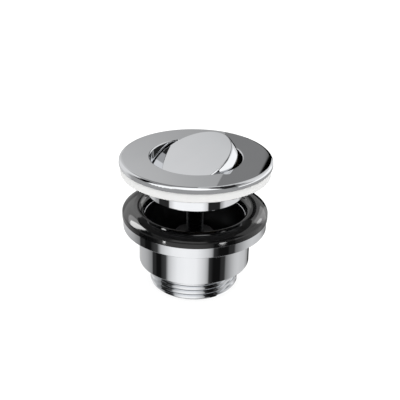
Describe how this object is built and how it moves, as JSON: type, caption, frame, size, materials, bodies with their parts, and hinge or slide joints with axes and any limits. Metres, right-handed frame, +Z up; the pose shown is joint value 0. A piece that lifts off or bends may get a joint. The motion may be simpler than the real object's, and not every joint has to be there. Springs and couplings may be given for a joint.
{
  "type": "flip-top basin waste",
  "caption": "Chrome basin waste with a flat round flange, a tilting plug, a white basin gasket and a threaded lower cup with a black gasket, drawn together by a tie screw.",
  "frame": {"origin": "centre of the tail's bottom face, on which the part stands", "axes": "+Z up along the waste's own axis, +X towards the side of the plug that rises, +Y along the hinge pin"},
  "size_m": [0.07, 0.07, 0.0714],
  "materials": {
    "chrome": "bright chrome plate on brass",
    "white_rubber": "matt white rubber",
    "black_rubber": "smooth glossy black rubber",
    "brass": "plain cast brass",
    "steel": "stainless steel",
    "black_plastic": "moulded black plastic",
    "white_plastic": "moulded white plastic"
  },
  "bodies": {
    "cup": {"lower_cup": "chrome", "clamp_gasket": "black_rubber", "lower_spider": "black_plastic", "spider_nut": "brass"},
    "upper": {"upper_body": "chrome", "basin_gasket": "white_rubber", "bridge": "brass", "hinge_pin": "steel", "pin_clips": "steel", "ring_seal": "black_rubber"},
    "plug": {"plug_cap": "chrome", "plug_core": "black_plastic", "plug_seal": "black_rubber", "plug_screws": "steel", "plug_washers": "steel", "hinge_bush": "white_plastic", "thrust_washers": "white_plastic"},
    "screw": {"tie_screw": "steel", "tie_washer": "brass", "tie_clip": "steel"}
  },
  "joints": [
    {"name": "clamp_slide", "type": "slide", "parent": "cup", "child": "upper", "axis": [0, 0, 1], "range_m": [-0.014, 0.005]},
    {"name": "tie_turn", "type": "hinge", "parent": "upper", "child": "screw", "pos_m": [0, 0, 0.045], "axis": [0, 0, 1], "range_deg": [-4040, 1450]},
    {"name": "plug_tilt", "type": "hinge", "parent": "upper", "child": "plug", "pos_m": [0, 0, 0.0577], "axis": [0, -1, 0], "range_deg": [-25.2, 4.8]}
  ],
  "couplings": [
    {"joint": "tie_turn", "follows": "clamp_slide", "rad_per_m": 5026.5}
  ]
}
